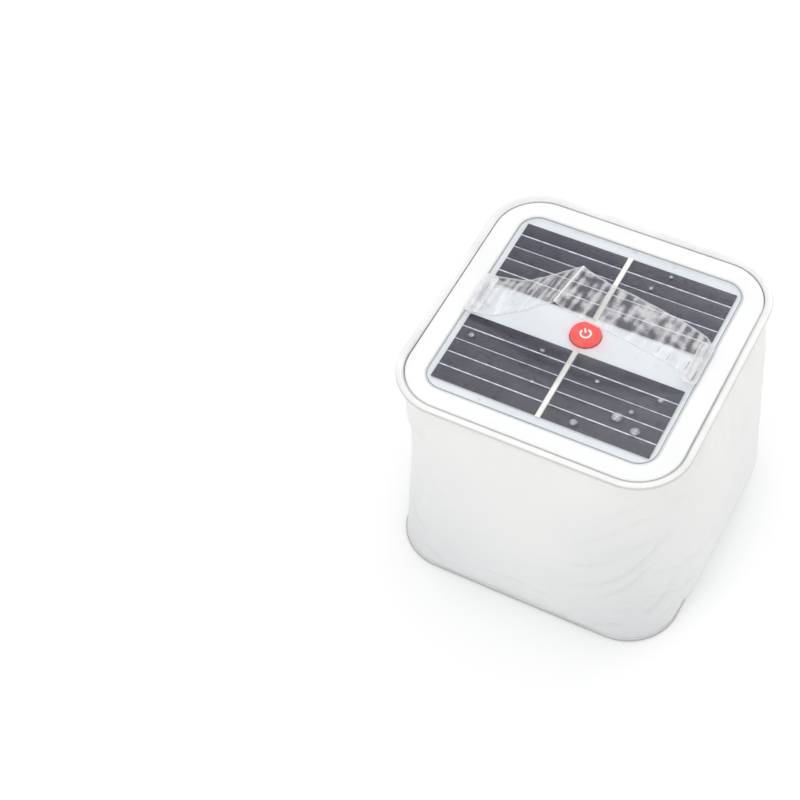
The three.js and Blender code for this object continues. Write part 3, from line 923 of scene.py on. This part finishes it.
def rounded_profile(points, radius=0.35 * MM, steps=3):
    """Rounds each corner of a closed (r, z) outline."""
    corners = [Vector(p) for p in points]
    rounded = []
    for k, corner in enumerate(corners):
        back = corners[k - 1] - corner
        ahead = corners[(k + 1) % len(corners)] - corner
        reach = min(radius, back.length * 0.45, ahead.length * 0.45)
        start, end = corner + back.normalized() * reach, corner + ahead.normalized() * reach
        for j in range(steps + 1):
            t = j / steps
            rounded.append(tuple((1 - t) ** 2 * start + 2 * t * (1 - t) * corner + t ** 2 * end))
    return rounded + rounded[:1]


def turned_part(name, outline, segments):
    """A clear part of the valve, turned from a closed (r, z) outline with softened corners."""
    return turned(name, rounded_profile(outline), cy=VALVE_Y, segments=segments)


def build_valve():
    """The inflation valve: a welded flange and recess, a stem that pulls out, and a tethered stopper."""
    clear = MATERIALS["clear_film"]
    bottom, top = VALVE_LOW.z, VALVE_HIGH.z
    stem_low, stem_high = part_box("valve_stem")
    collar, step = 1.2 * MM, 1 * MM
    lip = (stem_high.x - stem_low.x) / 2
    stem = lip - collar
    bore, cup, wall = 4.7 * MM, 15 * MM, 1.2 * MM
    neck, outer = stem + 0.3 * MM, cup + wall
    body = turned_part("valve_recess", [
        (cup, bottom), (VALVE_RADIUS, bottom), (VALVE_RADIUS, bottom + step), (outer, bottom + step),
        (outer, top), (neck, top), (neck, top - wall), (cup, top - wall),
    ], 96)
    place(body, clear, "base", "clear_film", "valve_body")

    tube = turned_part("valve_tube", [
        (bore, stem_low.z), (stem, stem_low.z), (stem, stem_high.z - step),
        (stem + collar, stem_high.z - step), (stem + collar, stem_high.z), (bore, stem_high.z),
    ], 72)
    place(tube, clear, "valve_stem", "clear_film", "valve_stem")

    cap_low, cap_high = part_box("valve_cap")
    plate, dimple = cap_low.z + 1.5 * MM, cap_low.z + 0.5 * MM
    spigot, centre = 4.3 * MM, 0.01 * MM
    cap_radius = -cap_low.x
    grip = turned_part("grip", [
        (centre, dimple), (cap_radius - 2 * MM, dimple), (cap_radius - 1 * MM, cap_low.z),
        (cap_radius, cap_low.z), (cap_radius, plate), (spigot, plate),
        (spigot - 0.5 * MM, cap_high.z), (centre, cap_high.z),
    ], 72)
    half_lug = 2 * MM
    lug = bevelled_box("lug", (cap_radius - 1 * MM, VALVE_Y - half_lug, cap_low.z),
                       (cap_high.x, VALVE_Y + half_lug, plate), 0.5 * MM)
    stopper = joined("valve_stopper", [grip, lug])
    place(stopper, clear, "valve_cap", "clear_film", "valve_cap")


# ---- solar panel ----------------------------------------------------------------------
def build_bezel():
    """The white frame: a rounded rim outside and a softly rolled edge round the window."""
    top, bottom = BEZEL_HIGH.z, BEZEL_LOW.z
    half = BEZEL_HIGH.x
    inner = top - 2.2 * MM
    edge = 0.9 * MM
    skirt = half - BEZEL_SKIRT
    loops = []

    def add(hx, hy, radius, z):
        loops.append(rounded_loop(hx, hy, radius, z, 16, 20))

    add(half, half, BEZEL_RADIUS, bottom)
    for a in QUARTER_TURN:
        o = edge * (1 - math.cos(a))
        add(half - o, half - o, BEZEL_RADIUS - o, top - edge + edge * math.sin(a))
    for a in QUARTER_TURN:
        o = edge * (1 - math.sin(a))
        add(WINDOW_HALF_X + o, WINDOW_HALF_Y + o, WINDOW_RADIUS + o, top - edge + edge * math.cos(a))
    add(WINDOW_HALF_X, WINDOW_HALF_Y, WINDOW_RADIUS, inner)
    add(skirt, skirt, BEZEL_RADIUS - BEZEL_SKIRT, inner)
    add(skirt, skirt, BEZEL_RADIUS - BEZEL_SKIRT, bottom)
    bezel = face_out(loft("bezel", loops, closed=True))
    place(bezel, MATERIALS["bezel"], "head", "bezel", "bezel_frame")


def build_laminate():
    """The clear sheet over the cells. Its cut edge shows as a thin dark line round the window, partly
    painted shade of the step at the frame's window.
    """
    low, high = LAMINATE_LOW.z, LAMINATE_HIGH.z
    corner = WINDOW_RADIUS - 0.5 * MM
    line, fade, hole = 0.35 * MM, 0.15 * MM, BUTTON_HIGH.x + 0.3 * MM
    loops, edge = [], []

    def add(half_x, half_y, radius, z, dark):
        loop = rounded_loop(half_x, half_y, radius, z, 10, 12)
        loops.append(loop)
        edge.extend([dark] * len(loop))

    def add_rim(inset, z, dark):
        add(LAMINATE_HIGH.x - inset, LAMINATE_HIGH.y - inset, corner - inset, z, dark)

    add_rim(0, low, 1)
    add_rim(0, high, 1)
    add_rim(line, high, 1)
    add_rim(line + fade, high, 0)
    add(hole, hole, hole * 0.98, high, 0)
    add(hole, hole, hole * 0.98, low, 0)
    add_rim(line + fade, low, 0)
    add_rim(line, low, 1)
    sheet = face_out(loft("clear_sheet", loops, closed=True))
    mark(sheet, "edge", edge)
    place(sheet, MATERIALS["laminate"], "head", "laminate", "panel_laminate", shades=False)


def bevelled_box(name, low, high, bevel):
    (x0, y0, z0), (x1, y1, z1) = low, high
    verts = [(x, y, z) for z in (z0, z1) for x, y in ((x0, y0), (x1, y0), (x1, y1), (x0, y1))]
    faces = [(3, 2, 1, 0), (4, 5, 6, 7), (0, 1, 5, 4), (1, 2, 6, 5), (2, 3, 7, 6), (3, 0, 4, 7)]
    box = make_object(name, verts, faces)
    add_modifier(box, "BEVEL", width=bevel, segments=2)
    return apply_modifiers(box)


def build_cells():
    """Each block is five narrow strips of silicon, with a printed silver bar along each join."""
    gaps = [g * MM for g in (0.5, 0.42, 0.3, 0.5)]
    rise = 0.03 * MM
    for row in ("rear", "front"):
        for side in ("left", "right"):
            node = f"solar_cell_{row}_{side}"
            low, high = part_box(node)
            if side == "left":
                high.x += RIBBON_TRIM
            else:
                low.x -= RIBBON_TRIM
            strip = (high.y - low.y - sum(gaps)) / (len(gaps) + 1)
            strips, bars = [], []
            y0 = low.y
            for k, gap in enumerate([*gaps, 0]):
                y1 = y0 + strip
                near, far = (low.x, y0, low.z), (high.x, y1, high.z)
                strips.append(bevelled_box(f"strip_{k}", near, far, 0.08 * MM))
                y0 = y1 + gap
                if gap:
                    near, far = (low.x, y1, low.z), (high.x, y0, high.z + rise)
                    bars.append(bevelled_box(f"bar_{k}", near, far, 0.03 * MM))
            block = joined(f"cells_{row}_{side}", strips)
            place(block, MATERIALS["solar_cell"], "head", "solar_cell", node)
            lines = joined(f"cell_bars_{row}_{side}", bars)
            place(lines, PRINTED_SILVER, "head", "ribbon")


def build_ribbons():
    """Collector ribbons: flat strips whose edges waver, with a solder swell at each join."""
    steps, joint_every, waver = 60, 12, 0.10
    for row in ("rear", "front"):
        node = f"cell_ribbon_{row}"
        low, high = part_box(node)
        shoulder = high.z - 0.05 * MM
        loops = []
        for k in range(steps + 1):
            y = low.y + (high.y - low.y) * k / steps
            swell = 0.25 * max(0.0, math.cos(TAU * k / joint_every)) ** 8
            wobble = noise.noise(Vector((3.3, y * 260, 1.7))) * 0.25
            half = ((high.x - low.x) / 2 - RIBBON_TRIM) * (1 + waver * wobble + waver * swell)
            crown = high.z + (0.12 + 0.25 * swell) * MM
            flank = crown - 0.04 * MM
            across = [(-1.0, low.z), (-1.0, shoulder), (-0.6, flank), (0.0, crown),
                      (0.6, flank), (1.0, shoulder), (1.0, low.z)]
            loops.append([(half * s, y, z) for s, z in across])
        ribbon = face_out(loft(f"collector_{row}", loops, caps=True))
        place(ribbon, MATERIALS["ribbon"], "head", "ribbon", node)


def build_button():
    """The red cap with a soft edge, and the mark raised on it."""
    radius = BUTTON_HIGH.x
    top = BUTTON_HIGH.z
    edge = 0.5 * MM
    skirt = 1.4 * MM
    hub = 2.5 * MM
    profile = [(0, BUTTON_LOW.z), (hub, BUTTON_LOW.z), (hub, top - skirt), (radius, top - skirt)]
    profile += [
        (radius - edge * (1 - math.cos(a)), top - edge + edge * math.sin(a))
        for a in QUARTER_TURN
    ]
    profile += [(radius * s, top) for s in (0.8, 0.5)] + [(0, top)]
    cap = turned("power_button", profile, segments=72)
    place(cap, MATERIALS["button_red"], "button", "button_red", "button_cap")
    build_power_mark(top)


def build_power_mark(top):
    """The generic power sign on the button: a ring that is open at one side, and a bar in the opening."""
    ring_radius, line, rise = 2.1 * MM, 0.38 * MM, 0.14 * MM
    gap = math.radians(38)
    upright = math.radians(120)
    steps = 48
    bar_start, bar_length = 0.4, 2.2
    z0, z1 = top - 0.1 * MM, top + rise
    shoulder = z1 - 0.03 * MM

    def section(at, normal):
        return [(at.x + normal.x * line * s, at.y + normal.y * line * s, z)
                for s, z in ((-1, z0), (-1, shoulder), (-0.8, z1), (0.8, z1), (1, shoulder), (1, z0))]

    arc = []
    for k in range(steps + 1):
        a = upright + gap + (TAU - 2 * gap) * k / steps
        out = Vector((math.cos(a), math.sin(a), 0))
        arc.append(section(out * ring_radius, out))
    along = Vector((math.cos(upright), math.sin(upright), 0))
    across = Vector((-along.y, along.x, 0))
    bar = [section(along * (bar_start + bar_length * k / 4) * MM, across) for k in range(5)]
    strokes = [face_out(loft("arc", arc, caps=True)), face_out(loft("bar", bar, caps=True))]
    place(joined("power_mark", strokes), WHITE_INK, "button", "button_red")


# ---- straps ---------------------------------------------------------------------------
# Each half's line from its weld to the middle, as (x, height over the film) in millimetres.
STRAP_LEFT = [(-49, 1.0), (-46.4, 1.1), (-37, 2.6), (-27, 8.0), (-17.8, 15.8), (-8.5, 24.0)]
STRAP_RIGHT = [
    (49.2, 1.0), (47.6, 1.8), (45.2, 4.6), (40, 7.6), (30, 11.4), (17, 15.2), (5, 18.2), (-3, 20.6),
    (-8.5, 24.0),
]
BASE_LEFT = [(-56, 0.2), (-47, -0.1), (-36, 0.35), (-24, -0.2), (-12, 0.3), (0, 0.0)]
BASE_RIGHT = [(56, 0.2), (46, 0.3), (35, -0.3), (22, 0.25), (11, -0.2), (0, 0.0)]
# The panel strap runs slightly askew: this much in Y for each unit in X.
PANEL_STRAP_SKEW = 0.04
# How far the crest leans across the strap, as a share of its width, and how bright the painted highlight is
# along the edges beside it.
CREST_SLANT = 0.14
EDGE_SHINE = 0.6
# Dark reflections painted as dashes across the right half, in millimetres: distance from the weld and half
# width along. Then how far they reach across the strap, from -0.5 at the front edge to 0.5 at the rear edge.
DARK_REFLECTION_DASHES = [
    (1.6, 0.5, -0.5, -0.2), (6.5, 0.55, -0.42, -0.16), (14.5, 0.5, -0.5, -0.28), (19.5, 0.6, -0.42, -0.26),
]
# The crumple value that marks a painted dark reflection.
DARK_REFLECTION_MARK = -0.6


def smooth_line(points, steps):
    """Walks a Catmull-Rom curve through (x, z) points given in millimetres."""
    pts = [Vector((x * MM, 0, z * MM)) for x, z in points]
    ends = [2 * pts[0] - pts[1]] + pts + [2 * pts[-1] - pts[-2]]
    line = []
    for i in range(1, len(ends) - 2):
        a, b, c, d = ends[i - 1:i + 3]
        for k in range(steps):
            t = k / steps
            line.append(0.5 * (2 * b + (c - a) * t + (2 * a - 5 * b + 4 * c - d) * t ** 2
                               + (3 * b - a - 3 * c + d) * t ** 3))
    line.append(pts[-1])
    return line


def crumpled(run, v, seed):
    """How clouded the film is at a point: bars across the strap, broken up along it. 0 to 1."""
    bars = noise.noise(Vector((run * 460, v * 1.8, seed)))
    blocks = noise.noise(Vector((run * 190, v * 7.0, seed + 4)))
    return min(1.0, max(0.0, 0.45 + 1.7 * bars + 0.8 * blocks))


def strap_half(name, points, seed, width, centre_y, base_z, skew=0.0, crest=True, ripple=1.0, reflection_dashes=()):
    """One half of a strap, from its weld to the middle: a thin closed strip with rolled edges."""
    thin, rolled, sagging = 0.4 * MM, 0.75 * MM, 1.2
    roll_from, roll_over = 0.455, 0.03
    line = smooth_line(points, 12)
    across = 26
    loops, edge, clouded, rest = [], [], [], []
    run = 0.0
    for i, p in enumerate(line):
        run += (p - line[i - 1]).length if i else 0.0
        ahead = line[min(i + 1, len(line) - 1)] - line[max(i - 1, 0)]
        normal = Vector((-ahead.z, 0, ahead.x)).normalized()
        if normal.z < 0:
            normal.negate()
        ends = smooth_step(min(i, len(line) - 1 - i) / 6)
        on_crest = smooth_step((i - len(line) + 2.6) / 1.2) if crest else 0.0
        slant = CREST_SLANT * width * smooth_step(i / (len(line) - 1)) if crest else 0.0
        top, low, marks = [], [], []
        for k in range(across + 1):
            v = k / across - 0.5
            at_edge = smooth_step((abs(v) - roll_from) / roll_over)
            wave = noise.noise(Vector((p.x * 150 + seed, v * 2.0, 0.4))) * 0.55
            wave += noise.noise(Vector((p.x * 420 + seed, v * 7.0, 2.4))) * 0.28
            at = Vector((p.x + slant * v, centre_y + v * width + skew * p.x, p.z + base_z))
            at += normal * (wave * ends - sagging * v ** 2) * ripple * MM
            half = (thin + (rolled - thin) * at_edge) / 2
            top.append(at + normal * half)
            low.append(at - normal * half)
            # Painted reflection: dark dashes where the film mirrors something dark.
            dark = any(abs(run - c * MM) < w * MM and a < v < b for c, w, a, b in reflection_dashes)
            cloud = DARK_REFLECTION_MARK if dark else crumpled(run, v, seed)
            # Painted highlight: the rolled edges and the crest are marked bright.
            marks.append((max(EDGE_SHINE * at_edge, on_crest), cloud, (run + seed, v * width, 0.0)))
        loops.append(top + list(reversed(low)))
        for shine, cloud, at_rest in marks + list(reversed(marks)):
            edge.append(shine)
            clouded.append(cloud)
            rest.append(at_rest)
    half_strap = face_out(loft(name, loops, caps=True))
    mark(half_strap, "edge", edge)
    mark(half_strap, "crumple", clouded)
    return keep_rest(half_strap, rest)


def bend_strap(half, film, body, middle, slot, weld, hold, *nodes):
    """Paints a half, bakes its place into its mesh and hides the CAD nodes it stands for. body, middle, weld
    and hold are not used.
    """
    paint(half, film, shades=film is not PANEL_STRAP_FILM)
    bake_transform(half)
    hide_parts(*nodes)


def build_panel_strap():
    """The finger strap over the panel, welded at both ends and creased where it was last pulled up."""
    width = CREST_HIGH.y - CREST_LOW.y
    centre = (CREST_HIGH.y + CREST_LOW.y) / 2
    place_on = (width, centre, FILM_HIGH.z, PANEL_STRAP_SKEW)
    left = strap_half("strap_left", STRAP_LEFT, 3.0, *place_on)
    bend_strap(left, PANEL_STRAP_FILM, "head", "panel_strap", "clear_film", -46, -16, "strap_span_left")
    right = strap_half("strap_right", STRAP_RIGHT, 9.0, *place_on, reflection_dashes=DARK_REFLECTION_DASHES)
    bend_strap(right, PANEL_STRAP_FILM, "head", "panel_strap", "clear_film", 47, 10,
               "strap_span_right", "strap_crest")


def build_base_strap():
    """The second strap, lying slack under the valve side."""
    low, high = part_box("base_strap_middle")
    place_on = (high.y - low.y, (low.y + high.y) / 2, (low.z + high.z) / 2)
    left = strap_half("base_strap_left", BASE_LEFT, 5.0, *place_on, crest=False, ripple=0.3)
    bend_strap(left, BASE_STRAP_FILM, "base", "base_strap", "frosted_film", -56, -16, "base_strap_span_left")
    right = strap_half("base_strap_right", BASE_RIGHT, 7.0, *place_on, crest=False, ripple=0.3)
    bend_strap(right, BASE_STRAP_FILM, "base", "base_strap", "frosted_film", 56, 16,
               "base_strap_span_right", "base_strap_middle")


def build_strap_pad(node, body, film, skew):
    """The welded end of a strap: a flat patch with a pressed border."""
    low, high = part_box(node)
    cx, cy = (low.x + high.x) / 2, (low.y + high.y) / 2
    half_x, half_y = (high.x - low.x) / 2, (high.y - low.y) / 2
    pressed = high.z - 0.15 * MM
    loops, edge = [], []
    for inset, z, border in ((0, low.z, 1), (0, high.z, 1), (0.5, high.z, 1), (0.8, pressed, 0),
                             (2.2, pressed, 0), (2.2, low.z, 0)):
        i = inset * MM
        radius = max(1.2 * MM - i, 0.2 * MM)
        loop = rounded_loop(half_x - i, half_y - i, radius, z, 5, 6, cx, cy + skew * cx)
        loops.append(loop)
        edge += [border] * len(loop)
    pad = face_out(loft(f"{node}_patch", loops, caps=True))
    mark(pad, "edge", edge)
    mark(pad, "crumple", [0.4] * len(edge))
    keep_rest(pad)
    place(pad, film, body, "weld", node)


def build_strap_pads():
    for side in ("left", "right"):
        build_strap_pad(f"strap_pad_{side}", "head", PAD_FILM, PANEL_STRAP_SKEW)
        build_strap_pad(f"base_strap_pad_{side}", "base", BASE_STRAP_FILM, 0.0)


# ---- what stays from the frame --------------------------------------------------------
def finish_cad_nodes():
    """Gives each CAD node that still shows its slot's finish, and breaks its sharp edges."""
    for row in frame["record"]["subparts"]:
        obj = frame["nodes"][row["node"]]
        if obj.hide_render:
            continue
        if not obj.material_slots:
            obj.data.materials.append(None)
        for slot in obj.material_slots:
            slot.material = MATERIALS[row["material_slot"]]
        add_modifier(obj, "BEVEL", width=0.15 * MM, segments=2, angle_limit=math.radians(40))


def write_sizes():
    """Puts the CAD box and the visual model's box side by side in a dict, which is not kept."""
    def plain(box):
        return [[float(c) for c in corner] for corner in box]
    {"cad": plain(CAD_BOX), "visual": plain(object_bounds())}


place_camera()
place_floor()
place_lights()
build_side_walls()
build_rims()
build_window_film()
build_contact_reflections()
build_valve_sheet()
build_valve()
build_bezel()
build_laminate()
build_cells()
build_ribbons()
build_button()
build_panel_strap()
build_base_strap()
build_strap_pads()
finish_cad_nodes()
write_sizes()
